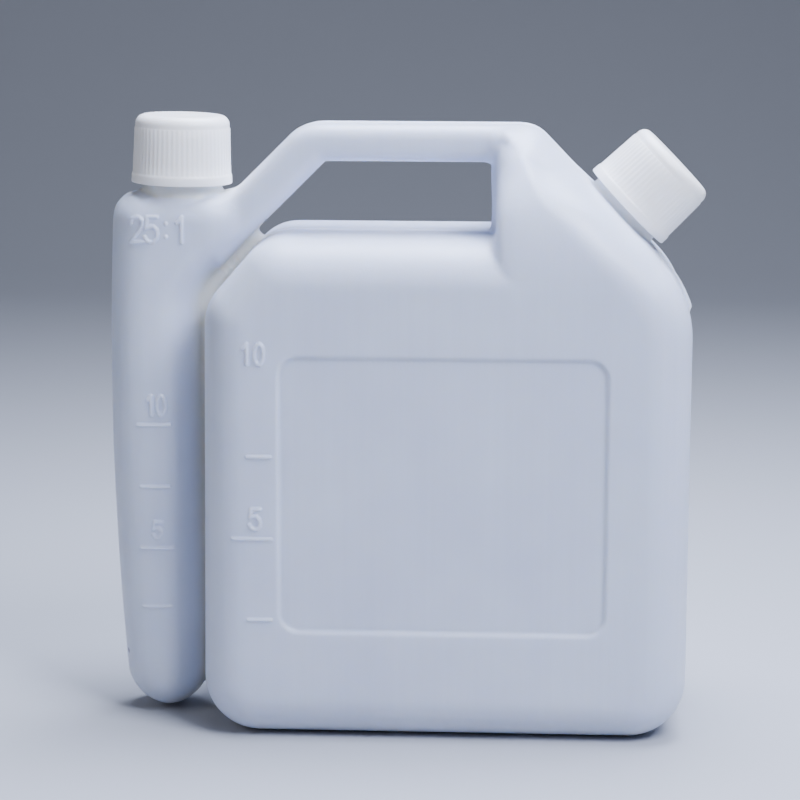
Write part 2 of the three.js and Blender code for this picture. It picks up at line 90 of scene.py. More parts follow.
def place_mesh(name, points, faces, material=None):
    """Mesh object at the origin, its place in its mesh."""
    data = bpy.data.meshes.new(name)
    data.from_pydata([tuple(p) for p in points], [], [tuple(f) for f in faces])
    data.update()
    made = bpy.data.objects.new(name, data)
    if material:
        data.materials.append(material)
    bpy.context.scene.collection.objects.link(made)
    return made


card, card_tree, card_out = new_material("matt_card")
card_shader = add_node(card_tree, "ShaderNodeBsdfPrincipled",
                       inputs={"Base Color": hex_colour("#B0B2B7"), "Roughness": 0.85})
card_tree.links.new(card_shader.outputs[0], card_out.inputs[0])

CARD_HALF_WIDTH = 3.0
BEND_START = 0.9
BEND_RADIUS = 0.6
BEND_STEPS = 12
sweep = [(-2.5, 0.0), (BEND_START, 0.0)]
for k in range(1, BEND_STEPS + 1):
    turn = math.radians(90 * k / BEND_STEPS)
    sweep.append((BEND_START + BEND_RADIUS * math.sin(turn), BEND_RADIUS - BEND_RADIUS * math.cos(turn)))
sweep.append((BEND_START + BEND_RADIUS, 2.6))
# the card lies a fifth of a millimetre low, clear of the foot
card_points = [(side, y, z - 0.0002) for y, z in sweep for side in (-CARD_HALF_WIDTH, CARD_HALF_WIDTH)]
card_faces = [(2 * k, 2 * k + 1, 2 * k + 3, 2 * k + 2) for k in range(len(sweep) - 1)]
floor = place_mesh("floor", card_points, card_faces, card)
for face in floor.data.polygons:
    face.use_smooth = True

for name, place, size, watts, tint in (
        ("front_left_box", (-0.70, -0.60, 0.60), 0.50, 1.6, "#FFFDFA"),
        ("front_right_box", (0.34, -0.38, 0.62), 0.30, 9.6, "#DFE7FF"),
        ("top_box", (0.08, 0.08, 0.62), 0.40, 12.4, "#DAE4FF")):
    lamp = bpy.data.lights.new(name, "AREA")
    lamp.shape = "SQUARE"
    lamp.size = size
    lamp.energy = watts
    lamp.color = hex_colour(tint)[:3]
    made = bpy.data.objects.new(name, lamp)
    made.location = place
    made.rotation_euler = (look_at - Vector(place)).to_track_quat("-Z", "Y").to_euler()
    bpy.context.scene.collection.objects.link(made)

air = bpy.data.worlds.new("studio_air")
air.use_nodes = True
air.node_tree.nodes["Background"].inputs["Color"].default_value = hex_colour("#E2E5EA")
air.node_tree.nodes["Background"].inputs["Strength"].default_value = 0.10
bpy.context.scene.world = air


# Bottle: tank, column, hollow grip, measuring tube and both necks, blow moulded in one piece of
# natural polyethylene with a wall of 1.2 mm. The mould halves meet in the plane y = 0, where they
# pinch the web flat between tube and tank and leave a fine line. Sizes in millimetres.

WALL = 1.2
TANK_HALF_DEPTH = 37.0
TANK_EDGE = 13.5
TANK_RIGHT = 86.1
TANK_TOP = 149.9
# left, right, foot and top of the panel sunk into each large face
PANEL = (-35.9, 62.2, 33.0, 117.3)
PANEL_DEPTH = 1.0
PANEL_CORNER = 6.5
PANEL_BORDER = 1.7

GRIP_TOP = 182.35
GRIP_UNDERSIDE = 171.4
GRIP_HALF_DEPTH = 11
GRIP_EDGE = 4.2
# the arm slants at 45 degrees, so each of its long sides is one value of z - x
ARM_UPPER_SIDE = 213
ARM_LOWER_SIDE = 195.4
# the arm ends inside the tube, where x + z has this value
ARM_END = 84
# the finger gap ends at this x at the end height, and leans right above it
GAP_END = 26.4
GAP_END_HEIGHT = 150
GAP_END_LEAN = 0.04

COLUMN_LEFT = 28.0
COLUMN_RIGHT = 86.06
# above this height the large faces of the column lean in
COLUMN_BEND_HEIGHT = 136.4
COLUMN_SWELL = 28.92
CREST_HALF_DEPTH = 8

# lean of each neck to the right, and the foot of its axis as x and z
SLANT = math.radians(46)
FILLER_FOOT = (65.0, 155.75)
OIL_FOOT = (-67.9, 161.3)
OIL_LEAN = math.radians(1.3)
NECK_RADIUS = 12.2
NECK_BORE = 10.6
NECK_HEIGHT = 19.95

# sides of the measuring tube; the left one bows outwards most at the bow height
TUBE_LEFT = -89.8
TUBE_RIGHT = -61.4
TUBE_FOOT = 0.7
TUBE_HALF_DEPTH = 14
TUBE_EDGE = 12.6
TUBE_BOW = 4.65e-4
TUBE_BOW_HEIGHT = 103
TUBE_TAPER = 1.1
TUBE_TAPER_RUN = 130.8
# the right side moves out by this share of the height gained between start and end
HEAD_FLARE = 0.85
HEAD_FLARE_START = 131.5
HEAD_FLARE_END = 149.5

WEB_HALF_THICKNESS = 1.1
WEB_FOOT = 8.5
WEB_LEFT = -64.5
WEB_RIGHT = -55.2
# the web ends under the arm, where x + z has this value
WEB_END = 104.3
# its band follows the shoulder: direction square to it as x and z, and both sides and foot of it
BAND_ACROSS = (-0.765, 0.644)
BAND_SIDES = (124.521, 135.8985)
BAND_FOOT = 130

WALL_SAG = 0.35
WALL_WAVE = 0.05
BASE_RISE = 1.2

# outlines seen from the front, anticlockwise, as x, z and corner radius
HIP_HEIGHT = FILLER_FOOT[1] - (TANK_RIGHT - FILLER_FOOT[0]) * math.tan(SLANT)
CREST_END = FILLER_FOOT[0] - (GRIP_TOP - FILLER_FOOT[1]) / math.tan(SLANT)
TANK_OUTLINE = [(-59.3, 0, 17), (TANK_RIGHT, 0, 17.5), (TANK_RIGHT, HIP_HEIGHT - 0.6, 31),
                (70.07, TANK_TOP, 14), (-41.1, TANK_TOP, 15), (-58.2, 130.2, 15)]
COLUMN_OUTLINE = [(COLUMN_LEFT, 116, 1), (COLUMN_RIGHT, 116, 1), (COLUMN_RIGHT, HIP_HEIGHT, 31),
                  (CREST_END, GRIP_TOP, 10), (COLUMN_LEFT, GRIP_TOP, 1)]


def meet(a, b, radius, cosine=0.0):
    """Distance to the edge where two sides meet, rounded; cosine is of the angle between normals."""
    a, b = a + radius, b + radius
    beyond = (a > cosine * b) & (b > cosine * a)
    square = np.maximum(a * a + b * b - 2 * cosine * a * b, 0) / (1 - cosine * cosine)
    return np.where(beyond, np.sqrt(square), np.maximum(a, b)) - radius


def inside_outline(corners, x, z):
    """Distance to a convex outline, negative inside."""
    sides = []
    for (ax, az, _), (bx, bz, _) in zip(corners, corners[1:] + corners[:1]):
        run = math.hypot(bx - ax, bz - az)
        out_x, out_z = (bz - az) / run, (ax - bx) / run
        sides.append(((x - ax) * out_x + (z - az) * out_z, out_x, out_z))
    rounded = [meet(a[0], b[0], corner[2], a[1] * b[1] + a[2] * b[2])
               for a, b, corner in zip(sides[-1:] + sides[:-1], sides, corners)]
    return reduce(np.maximum, rounded)


def ease(t):
    """0 to 1 along a smooth S."""
    t = np.clip(t, 0, 1)
    return t * t * (3 - 2 * t)


def soft_join(a, b, width):
    """Union of two forms with a fillet; width may vary from place to place."""
    overlap = np.maximum(width - np.abs(a - b), 0)
    return np.minimum(a, b) - overlap * overlap / (4 * np.maximum(width, 1e-6))


def soft_ramp(t, width):
    """0 below zero and t above it, with a soft bend."""
    return np.where(t > width, t, np.where(t < -width, 0, (t + width) ** 2 / (4 * width)))


def tank_form(x, y, z):
    """Flat tank with one radius round both large faces."""
    return meet(inside_outline(TANK_OUTLINE, x, z), np.abs(y) - TANK_HALF_DEPTH, TANK_EDGE)


def column_form(x, y, z):
    """Column over the tank; its large faces lean in along an arc, up to a narrow crest."""
    rise = np.clip((z - COLUMN_BEND_HEIGHT) / (GRIP_TOP - COLUMN_BEND_HEIGHT), 0, 0.985)
    arc = np.sqrt(1 - rise * rise)
    half = CREST_HALF_DEPTH + COLUMN_SWELL * arc
    lean = COLUMN_SWELL * rise / (arc * (GRIP_TOP - COLUMN_BEND_HEIGHT))
    steep = np.sqrt(1 + lean * lean)
    # the edge grows rounder to the right and to the top
    edge = 4.5 + 9 * ease((x - COLUMN_LEFT) / 16) + 5 * ease((z - 158) / 14)
    edge = np.minimum(edge, 0.8 * half / steep)
    return meet(inside_outline(COLUMN_OUTLINE, x, z), (np.abs(y) - half) / steep, edge)


def grip_form(x, y, z):
    """Level bar, the arm that slants down to the tube, and a post along the end of the finger gap."""
    slope = (z - x) / math.sqrt(2)
    cosine = math.sqrt(0.5)
    top = meet(z - GRIP_TOP, slope - ARM_UPPER_SIDE / math.sqrt(2), 14, cosine)
    gap = np.maximum(meet(z - GRIP_UNDERSIDE, slope - ARM_LOWER_SIDE / math.sqrt(2), 2, cosine),
                     x - GAP_END - GAP_END_LEAN * (z - GAP_END_HEIGHT))
    strip = reduce(np.maximum, [top, -gap, (ARM_END - x - z) / math.sqrt(2), x - 36])
    return meet(strip, np.abs(y) - GRIP_HALF_DEPTH, GRIP_EDGE)


def tube_form(x, y, z):
    """Measuring tube: bowed on the left, slightly tapered on the right, flared at the head."""
    left = TUBE_LEFT + TUBE_BOW * (z - TUBE_BOW_HEIGHT) ** 2
    right = (TUBE_RIGHT - TUBE_TAPER * (z - TUBE_FOOT) / TUBE_TAPER_RUN
             + HEAD_FLARE * soft_ramp(z - HEAD_FLARE_START, 6)
             - HEAD_FLARE * soft_ramp(z - HEAD_FLARE_END, 2))
    middle, half_width = (left + right) / 2, (right - left) / 2
    level = meet(np.abs(x - middle) - half_width, np.abs(y) - TUBE_HALF_DEPTH, TUBE_EDGE)
    return np.maximum(meet(level, TUBE_FOOT - z, 12.7), meet(level, z - OIL_FOOT[1], 8))


def web_form(x, y, z):
    """Flat web: an upright strip beside the tube, then a band along the tank's shoulder."""
    end = (x + z - WEB_END) / math.sqrt(2)
    strip = reduce(np.maximum, [WEB_FOOT - z, WEB_LEFT - x, x - WEB_RIGHT, end])
    across = BAND_ACROSS[0] * x + BAND_ACROSS[1] * z
    band = reduce(np.maximum, [BAND_FOOT - z, across - BAND_SIDES[1], BAND_SIDES[0] - across, end])
    return np.maximum(np.minimum(strip, band), np.abs(y) - WEB_HALF_THICKNESS)


def neck_form(x, y, z, foot, lean, radius, low, high, edge):
    """Round body on a neck's axis, from low to high along it."""
    along = (x - foot[0]) * math.sin(lean) + (z - foot[1]) * math.cos(lean)
    across = (x - foot[0]) * math.cos(lean) - (z - foot[1]) * math.sin(lean)
    return np.maximum(meet(np.hypot(across, y) - radius, along - high, edge), low - along)


def panel_form(x, z):
    """Distance to the edge of the sunk panel, negative inside."""
    return meet(np.abs(x - (PANEL[0] + PANEL[1]) / 2) - (PANEL[1] - PANEL[0]) / 2,
                np.abs(z - (PANEL[2] + PANEL[3]) / 2) - (PANEL[3] - PANEL[2]) / 2, PANEL_CORNER)


def hollow_form(x, y, z):
    """The blown form without web and necks: its wall lies inside this skin."""
    body = soft_join(tank_form(x, y, z), column_form(x, y, z), 3 * ease((z - 141) / 12))
    arm = soft_join(grip_form(x, y, z), tube_form(x, y, z), 4)
    # the fillet is small at the tank, wider at the tube, widest at the column, and none on top
    fillet = 1.6 + 1.8 * ease((10 - x) / 30) + 3.4 * ease((x - 20) / 6) * ease((z - 152) / 18)
    body = soft_join(body, arm, fillet * ease((GRIP_TOP - z) / 4))
    # a panel is sunk into both large faces, with a sloping border
    face = ease((np.abs(y) - 27) / 6)
    body = body + face * PANEL_DEPTH * ease(-panel_form(x, z) / PANEL_BORDER)
    # large blown walls sink a little as they cool, and stay faintly wavy
    sag = np.clip(1 - ((x - 13) / 60) ** 2, 0, 1) * np.clip(1 - ((z - 75) / 62) ** 2, 0, 1)
    body = body + face * (WALL_SAG * sag + WALL_WAVE * np.sin(x / 7.3 + 1) * np.sin(z / 9.1))
    # the base is pushed up, so that the bottle stands on its rim
    base = meet(np.abs(x - 13.1) - 48.5, np.abs(y) - 16.5, 8)
    return body + (z < 6) * BASE_RISE * ease(-base / 3)


def outer_form(x, y, z):
    """Outside of the whole bottle, still without marks, mould line and screw ridges."""
    body = soft_join(hollow_form(x, y, z), web_form(x, y, z), 1.6)
    filler = neck_form(x, y, z, FILLER_FOOT, SLANT, NECK_RADIUS, -4, NECK_HEIGHT, 0.5)
    oil = neck_form(x, y, z, OIL_FOOT, OIL_LEAN, NECK_RADIUS, -4, NECK_HEIGHT, 0.5)
    return soft_join(soft_join(body, filler, 1.6), oil, 1.6)


def cavity_form(x, y, z):
    """Space inside the wall, open through both necks."""
    body = hollow_form(x, y, z) + WALL
    filler = neck_form(x, y, z, FILLER_FOOT, SLANT, NECK_BORE, -6, NECK_HEIGHT + 3, 0.2)
    oil = neck_form(x, y, z, OIL_FOOT, OIL_LEAN, NECK_BORE, -6, NECK_HEIGHT + 3, 0.2)
    return np.minimum(soft_join(body, filler, 1.0), oil)


# Numbers and marks of both scales stand proud of the wall, on the front only.
MARK_HEIGHT = 0.6
MARK_HALF_WIDTH = 0.42
DIGIT_HALF_WIDTH = 0.46
# strokes of each sign in units of its box
DIGIT_STROKES = {
    "0": [[(0.5 + 0.34 * math.sin(math.tau * k / 20), 0.5 + 0.5 * math.cos(math.tau * k / 20))
           for k in range(21)]],
    "1": [[(0.30, 0.76), (0.58, 1.0), (0.58, 0.0)]],
    "2": [[(0.14, 0.72), (0.20, 0.90), (0.42, 1.0), (0.64, 0.98), (0.82, 0.84), (0.82, 0.66),
           (0.68, 0.48), (0.34, 0.20), (0.12, 0.0), (0.88, 0.0)]],
    "5": [[(0.84, 1.0), (0.26, 1.0), (0.18, 0.54), (0.36, 0.63), (0.60, 0.63), (0.80, 0.50),
           (0.86, 0.32), (0.80, 0.13), (0.62, 0.01), (0.38, 0.0), (0.20, 0.08), (0.12, 0.22)]],
    ":": [[(0.5, 0.20), (0.5, 0.22)], [(0.5, 0.72), (0.5, 0.74)]],
}
# text, left, foot, digit width, digit height, advance
NUMBERS = [("10", -46.8, 114.4, 4.0, 6.1, 3.9), ("5", -44.6, 65.0, 4.4, 6.1, 4.4),
           ("25:1", -82.3, 147.3, 5.2, 7.6, 4.35), ("10", -78.2, 94.5, 3.6, 6.0, 3.3),
           ("5", -76.5, 56.4, 3.6, 5.0, 3.6)]
# left end, right end, height
MARKS = [(-44.6, -37.8, 86.85), (-49.2, -37.6, 62.0), (-44.6, -37.8, 37.4),
         (-80.4, -70.6, 91.55), (-79.7, -71.0, 72.4), (-79.9, -70.0, 53.3), (-79.5, -71.0, 34.9)]


def mark_strokes():
    """Every raised stroke as (x, z, x, z, half width)."""
    strokes = [(a, h, b, h, MARK_HALF_WIDTH) for a, b, h in MARKS]
    for text, left, foot, wide, high, advance in NUMBERS:
        for k, sign in enumerate(text):
            for line in DIGIT_STROKES[sign]:
                spots = [(left + k * advance + u * wide, foot + v * high) for u, v in line]
                strokes += [(a[0], a[1], b[0], b[1], DIGIT_HALF_WIDTH)
                            for a, b in zip(spots, spots[1:])]
    return strokes


STROKES = mark_strokes()


def mark_rise(x, y, z):
    """Height of the raised marks over the plain wall."""
    rise = np.zeros(np.shape(x))
    near = (y < -5) & (x < -35) & (z > 14)
    px, pz = x[near], z[near]
    nearest = np.full(px.shape, 9.0)
    for ax, az, bx, bz, half in STROKES:
        run = max((bx - ax) ** 2 + (bz - az) ** 2, 1e-9)
        t = np.clip(((px - ax) * (bx - ax) + (pz - az) * (bz - az)) / run, 0, 1)
        nearest = np.minimum(nearest, np.hypot(px - ax - t * (bx - ax), pz - az - t * (bz - az)) - half)
    rise[near] = MARK_HEIGHT * ease((0.28 - nearest) / 0.44)
    return rise


SEAM_HEIGHT = 0.34
SEAM_HALF_WIDTH = 0.36
FLASH_HEIGHT = 1.8
FLASH_TIP = 126


def detailed_form(x, y, z):
    """Outside with marks and mould line; the line grows into a torn tip below the slanted face."""
    growth = np.clip((FLASH_TIP + 17 - z) / 17, 0, 1) ** 2
    torn = FLASH_HEIGHT * (x > 70) * growth * ease((z - FLASH_TIP + 0.6) / 0.9)
    seam = (SEAM_HEIGHT + torn) * np.exp(-(y / SEAM_HALF_WIDTH) ** 2)
    # the line ends at the foot of each neck
    near_neck = np.minimum(
        neck_form(x, y, z, FILLER_FOOT, SLANT, 13.2, 0.2, 30, 0.1),
        neck_form(x, y, z, OIL_FOOT, OIL_LEAN, 13.2, 0.2, 30, 0.1))
    seam = seam * np.clip(near_neck + 0.5, 0, 1)
    return outer_form(x, y, z) - mark_rise(x, y, z) - seam


def skin(form, low, high, step):
    """Closed quad skin of the space where form is negative, from a grid of that step."""
    axes = [np.arange(a, b + step, step) for a, b in zip(low, high)]
    value = form(axes[0][:, None, None], axes[1][None, :, None], axes[2][None, None, :])
    inside = value < 0
    cells = np.array(value.shape) - 1
    corners = [(i, j, k) for i in (0, 1) for j in (0, 1) for k in (0, 1)]
    parts = [inside[i:i + cells[0], j:j + cells[1], k:k + cells[2]] for i, j, k in corners]
    crossed = np.logical_or.reduce(parts) & ~np.logical_and.reduce(parts)
    spots = np.argwhere(crossed)
    number = np.full(cells, -1)
    number[crossed] = np.arange(len(spots))
    total, count = np.zeros((len(spots), 3)), np.zeros(len(spots))
    for corner in corners:
        for axis in range(3):
            if corner[axis]:
                continue
            other = list(corner)
            other[axis] = 1
            a = value[tuple((spots + corner).T)]
            b = value[tuple((spots + other).T)]
            cut = (a < 0) != (b < 0)
            cross = np.tile(np.array(corner, float), (cut.sum(), 1))
            cross[:, axis] += a[cut] / (a[cut] - b[cut])
            total[cut] += cross
            count[cut] += 1
    points = np.array(low) + (spots + total / count[:, None]) * step
    quads = []
    for axis in range(3):
        u, v = (axis + 1) % 3, (axis + 2) % 3
        lower, upper = [slice(None)] * 3, [slice(None)] * 3
        lower[axis], upper[axis] = slice(0, -1), slice(1, None)
        first, second = inside[tuple(lower)], inside[tuple(upper)]
        edges = np.argwhere(first != second)
        keep = (edges[:, u] > 0) & (edges[:, v] > 0) & (edges[:, u] < cells[u]) & (edges[:, v] < cells[v])
        edges = edges[keep]
        ring = []
        for du, dv in ((0, 0), (-1, 0), (-1, -1), (0, -1)):
            cell = edges.copy()
            cell[:, u] += du
            cell[:, v] += dv
            ring.append(number[tuple(cell.T)])
        ring = np.stack(ring, 1)
        outward = first[tuple(edges.T)]
        ring[~outward] = ring[~outward][:, ::-1]
        quads.append(ring)
    return points, np.concatenate(quads)


def settle(points, form, rounds=3):
    """Moves points onto the skin of form."""
    nudge = 0.02
    for _ in range(rounds):
        x, y, z = points.T
        value = form(x, y, z)
        slope = np.stack([form(x + nudge, y, z) - value, form(x, y + nudge, z) - value,
                          form(x, y, z + nudge) - value], 1) / nudge
        size = np.maximum((slope * slope).sum(1), 0.05)
        points = points - np.clip(value / size, -1.5, 1.5)[:, None] * slope
    return points


def evaluated(piece, name):
    """Plain mesh object of a piece with its modifiers applied; the piece itself is removed."""
    bpy.context.view_layer.update()
    graph = bpy.context.evaluated_depsgraph_get()
    data = bpy.data.meshes.new_from_object(piece.evaluated_get(graph))
    data.name = name
    bpy.data.objects.remove(piece)
    made = bpy.data.objects.new(name, data)
    bpy.context.scene.collection.objects.link(made)
    return made


def mesh_points(data):
    """Places of a mesh's points, one row each."""
    flat = np.empty(len(data.vertices) * 3)
    data.vertices.foreach_get("co", flat)
    return flat.reshape(-1, 3)


def needs_detail(points):
    """Largest useful edge length at each point, in millimetres."""
    x, y, z = points.T
    size = np.full(len(points), 9.0)
    # border of the front and of the back panel
    border = panel_form(x, z)
    border = (border > -2.2) & (border < 0.7)
    size[(y < -34) & border] = 0.75
    size[(y > 34) & border] = 1.1
    # mould line
    size[np.abs(y) < 1.2] = 0.6
    # numbers and marks
    marks = mark_rise(x, y, z) > 0
    for text, left, foot, wide, high, advance in NUMBERS:
        marks |= (y < -5) & (np.abs(z - foot - high / 2) < high / 2 + 0.9) & \
                 (x > left - 0.6) & (x < left + (len(text) - 1) * advance + wide + 0.6)
    for a, b, h in MARKS:
        marks |= (y < -5) & (np.abs(z - h) < 1.0) & (x > a - 0.9) & (x < b + 0.9)
    size[marks] = 0.36
    # feet of the necks
    for foot, lean in ((FILLER_FOOT, SLANT), (OIL_FOOT, OIL_LEAN)):
        near = neck_form(x, y, z, foot, lean, 13.6, -0.5, 2.2, 0.1) < 0
        size[near] = np.minimum(size[near], 0.8)
    return size


def refine(points, faces, rounds):
    """Splits every edge that is too long for the detail it carries."""
    for _ in range(rounds):
        pairs = np.sort(np.concatenate([faces[:, [0, 1]], faces[:, [1, 2]], faces[:, [2, 0]]]), axis=1)
        keys, where = np.unique(pairs[:, 0] * len(points) + pairs[:, 1], return_inverse=True)
        ends = points[np.stack([keys // len(points), keys % len(points)], 1)]
        middle = ends.mean(1)
        limit = reduce(np.minimum, [needs_detail(p) for p in (middle, ends[:, 0], ends[:, 1])])
        split = np.linalg.norm(ends[:, 0] - ends[:, 1], axis=1) > 1.4 * limit
        number = np.full(len(keys), -1)
        number[split] = len(points) + np.arange(split.sum())
        points = np.concatenate([points, settle(middle[split], outer_form, 1)])
        new = number[where].reshape(3, -1).T
        count = (new >= 0).sum(1)
        # turn each face so that its split edges, or its one whole edge, come in a fixed order
        start = np.where(count == 2, (np.argmax(new < 0, axis=1) + 1) % 3, np.argmax(new >= 0, axis=1))
        order = (start[:, None] + np.arange(3)) % 3
        a, b, c = np.take_along_axis(faces, order, 1).T
        ab, bc, ca = np.take_along_axis(new, order, 1).T
        pieces = [faces[count == 0]]
        for share, corners in ((1, ((a, ab, c), (ab, b, c))),
                               (2, ((ab, b, bc), (a, ab, bc), (a, bc, c))),
                               (3, ((a, ab, ca), (ab, b, bc), (ca, bc, c), (ab, bc, ca)))):
            pieces += [np.stack(corner, 1)[count == share] for corner in corners]
        faces = np.concatenate(pieces)
    return points, faces


# a row of grid cells is centred on y = 0, so that points lie along the crest of the mould line
rough_points, rough_quads = skin(outer_form, (-92.2, -39.75, -1.3), (90.7, 39.8, 187.2), 1.5)
rough_points = settle(rough_points, outer_form, 3)
rough_faces = np.concatenate([rough_quads[:, [0, 1, 2]], rough_quads[:, [0, 2, 3]]])
fine_points, fine_faces = refine(rough_points, rough_faces, 3)
outer = place_mesh("outer_skin", settle(fine_points, detailed_form, 3), fine_faces)

cavity_points, cavity_quads = skin(cavity_form, (-91.0, -38.0, 0.0), (90.5, 38.5, 190.0), 2.2)
cavity = place_mesh("cavity", settle(cavity_points, cavity_form, 3), cavity_quads)


def grown(host, tree, values, name):
    """Plain mesh object of a piece grown by a node tree, with the tree's named inputs set."""
    grower = host.modifiers.new("grower", "NODES")
    grower.node_group = tree
    for socket in tree.interface.items_tree:
        if socket.in_out == "INPUT" and socket.name in values:
            grower[socket.identifier] = values[socket.name]
    return evaluated(host, name)


def joined(host, others, operation, name):
    """Host with other closed meshes added to it or cut from it; the others are removed."""
    for other in others:
        step = host.modifiers.new("join", "BOOLEAN")
        step.operation = operation
        step.solver = "MANIFOLD"
        step.object = other
    made = evaluated(host, name)
    for other in others:
        bpy.data.objects.remove(other)
    return made


def node_tree(name, sockets):
    """Empty geometry tree with named inputs, its input node and its output node."""
    made = bpy.data.node_groups.new(name, "GeometryNodeTree")
    made.interface.new_socket("Geometry", in_out="INPUT", socket_type="NodeSocketGeometry")
    for label, kind in sockets:
        made.interface.new_socket(label, in_out="INPUT", socket_type="NodeSocket" + kind)
    made.interface.new_socket("Geometry", in_out="OUTPUT", socket_type="NodeSocketGeometry")
    return made, made.nodes.new("NodeGroupInput"), made.nodes.new("NodeGroupOutput")


# screw ridge: a trapezoid carried along a spiral, shrinking to nothing at both ends
ridge_tree, given, made = node_tree("screw_ridge", [
    ("Turns", "Float"), ("Wall radius", "Float"), ("Lead", "Float"), ("Ridge height", "Float"),
    ("Foot width", "Float"), ("Crest width", "Float"), ("Facing", "Float"), ("Seat", "Float"),
    ("Material", "Material")])
rise = add_node(ridge_tree, "ShaderNodeMath", settings={"operation": "MULTIPLY"},
                links={0: given.outputs["Turns"], 1: given.outputs["Lead"]})
spiral = add_node(ridge_tree, "GeometryNodeCurveSpiral", inputs={"Resolution": 56, "Reverse": True},
                  links={"Rotations": given.outputs["Turns"], "Start Radius": given.outputs["Wall radius"],
                         "End Radius": given.outputs["Wall radius"], "Height": rise.outputs[0]})
upright = add_node(ridge_tree, "GeometryNodeSetCurveNormal", settings={"mode": "Z_UP"},
                   links={"Curve": spiral.outputs[0]})
section = add_node(ridge_tree, "GeometryNodeCurvePrimitiveQuadrilateral",
                   settings={"mode": "TRAPEZOID"}, inputs={"Offset": 0.0},
                   links={"Height": given.outputs["Ridge height"],
                          "Bottom Width": given.outputs["Foot width"],
                          "Top Width": given.outputs["Crest width"]})
facing = add_node(ridge_tree, "ShaderNodeCombineXYZ", links={"Z": given.outputs["Facing"]})
seat = add_node(ridge_tree, "ShaderNodeCombineXYZ", links={"X": given.outputs["Seat"]})
seated = add_node(ridge_tree, "GeometryNodeTransform",
                  links={"Geometry": section.outputs[0], "Rotation": facing.outputs[0],
                         "Translation": seat.outputs[0]})
along = add_node(ridge_tree, "GeometryNodeSplineParameter")
from_middle = add_node(ridge_tree, "ShaderNodeMath", settings={"operation": "SUBTRACT"},
                       inputs={1: 0.5}, links={0: along.outputs["Factor"]})
distance = add_node(ridge_tree, "ShaderNodeMath", settings={"operation": "ABSOLUTE"},
                    links={0: from_middle.outputs[0]})
swell = add_node(ridge_tree, "ShaderNodeMapRange",
                 inputs={"From Min": 0.5, "From Max": 0.42, "To Min": 0.12, "To Max": 1.0},
                 links={"Value": distance.outputs[0]})
ridge = add_node(ridge_tree, "GeometryNodeCurveToMesh", inputs={"Fill Caps": True},
                 links={"Curve": upright.outputs[0], "Profile Curve": seated.outputs[0],
                        "Scale": swell.outputs[0]})
real = add_node(ridge_tree, "GeometryNodeRealizeInstances", links={"Geometry": ridge.outputs[0]})
dressed = add_node(ridge_tree, "GeometryNodeSetMaterial",
                   links={"Geometry": real.outputs[0], "Material": given.outputs["Material"]})
ridge_tree.links.new(dressed.outputs[0], made.inputs[0])

THREAD = {"Turns": 1.5, "Lead": 4.2, "Ridge height": 1.15, "Foot width": 1.9, "Crest width": 1.0}
# each ridge starts this deep inside its wall
THREAD_SEAT = 0.35
NECK_RIDGE_START = 11.25


def neck_frame(foot, lean, along=0.0):
    """Place of a neck: the foot of its axis, the lean to the right and a distance along the axis."""
    return (Matrix.Translation((foot[0], 0, foot[1])) @ Matrix.Rotation(lean, 4, "Y")
            @ Matrix.Translation((0, 0, along)))


ridges = []
for foot, lean in ((FILLER_FOOT, SLANT), (OIL_FOOT, OIL_LEAN)):
    one = grown(place_mesh("ridge_host", [], []), ridge_tree,
                dict(THREAD, **{"Wall radius": NECK_RADIUS, "Facing": -math.pi / 2, "Seat": THREAD_SEAT}),
                "ridge")
    one.data.transform(neck_frame(foot, lean, NECK_RIDGE_START))
    ridges.append(one)

outer = joined(outer, ridges, "UNION", "outer_threaded")
bottle = joined(outer, [cavity], "DIFFERENCE", "bottle")
# plastic that the mould pinches solid, or thick beside a pinch, looks warmer: necks, web and the walls next
# to it; the tone there is also painted light, paler than the body to lift the shade in the crevice between
# tube and tank
x, y, z = mesh_points(bottle.data).T
solid_and_lit_parts = [web_form(x, y, z) / 9] + [
    neck_form(x, y, z, foot, lean, NECK_RADIUS, -0.5, NECK_HEIGHT, 0.5)
    for foot, lean in ((FILLER_FOOT, SLANT), (OIL_FOOT, OIL_LEAN))]
pinched_and_lit = bottle.data.attributes.new("pinched_and_lit", "FLOAT", "POINT")
pinched_and_lit.data.foreach_set("value", ease(1.1 - reduce(np.minimum, solid_and_lit_parts)))
bottle.data.transform(Matrix.Scale(0.001, 4))


def spacing(millimetres):
    """Scale of a pattern whose features lie that far apart."""
    return 1000 / millimetres


# Natural high density polyethylene without pigment, blown into a finely blasted mould: milky and
# bluish, lets light into the wall, soft satin shine, faint upright streaks where it stretched.
milky, tree, out = new_material("natural_polyethylene")
at = add_node(tree, "ShaderNodeTexCoord").outputs["Object"]
# clouds of thicker and thinner wall, 38 mm across
clouds = add_node(tree, "ShaderNodeTexNoise",
                  inputs={"Scale": spacing(38.46), "Detail": 3.0, "Roughness": 0.55},
                  links={"Vector": at})
# streaks 2.4 mm apart and 110 mm long
streak_scale = (spacing(2.381), spacing(2.381), spacing(111.1))
streak_space = add_node(tree, "ShaderNodeMapping", inputs={"Scale": streak_scale}, links={"Vector": at})
streaks = add_node(tree, "ShaderNodeTexNoise", inputs={"Scale": 1.0, "Detail": 2.0, "Roughness": 0.5},
                   links={"Vector": streak_space.outputs[0]})
